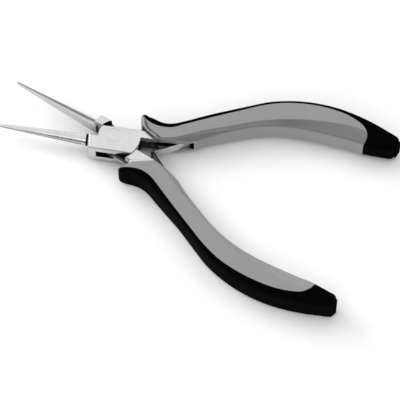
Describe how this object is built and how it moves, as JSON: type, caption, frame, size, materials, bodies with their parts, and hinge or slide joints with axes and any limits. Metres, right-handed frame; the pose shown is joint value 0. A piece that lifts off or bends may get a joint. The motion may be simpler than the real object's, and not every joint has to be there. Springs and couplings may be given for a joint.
{
  "type": "round nose pliers",
  "caption": "Slim jewellery pliers with long tapered round-backed jaws, a box joint, leaf springs that hold them open and bowed grips with soft backs and a front guard",
  "frame": {"origin": "Where the pivot axis meets the flat back face of the joint.", "axes": "+X runs along the pliers from the pivot towards the grips, with the jaws at -X; +Z is the pivot axis, out of the front face; +Y is the side of the handle that belongs to the outer half of the box joint."},
  "size_m": [0.138, 0.0772, 0.0122],
  "materials": {
    "forged_steel": "fine ground and polished forged tool steel",
    "pin_steel": "ground flush steel",
    "spring_steel": "bright hardened spring strip",
    "hard_grip": "matt moulded grey plastic",
    "soft_pad": "smooth matt black soft-touch rubber"
  },
  "bodies": {
    "outer_half": {"box_half": "forged_steel", "joint_pin": "pin_steel", "spring_pin_upper": "pin_steel", "grip_upper": "hard_grip", "pad_upper": "soft_pad"},
    "inner_half": {"tenon_half": "forged_steel", "spring_pin_lower": "pin_steel", "grip_lower": "hard_grip", "pad_lower": "soft_pad"},
    "leaf_upper": {"spring_upper": "spring_steel"},
    "leaf_lower": {"spring_lower": "spring_steel"}
  },
  "joints": [
    {"name": "main_hinge", "type": "hinge", "parent": "outer_half", "child": "inner_half", "pos_m": [0, 0, 0.0045], "axis": [0, 0, 1], "range_deg": [-7.5, 24], "stiffness_Nm_per_rad": 0.6},
    {"name": "upper_leaf_flex", "type": "hinge", "parent": "outer_half", "child": "leaf_upper", "pos_m": [0.02454, 0.00961, 0.0045], "axis": [0, 0, 1], "range_deg": [-15.3, 4.9]},
    {"name": "lower_leaf_flex", "type": "hinge", "parent": "inner_half", "child": "leaf_lower", "pos_m": [0.02454, -0.00961, 0.0045], "axis": [0, 0, 1], "range_deg": [-4.9, 15.3]}
  ],
  "couplings": [
    {"joint": "upper_leaf_flex", "follows": "main_hinge", "ratio": -0.625},
    {"joint": "lower_leaf_flex", "follows": "main_hinge", "ratio": 0.625}
  ]
}
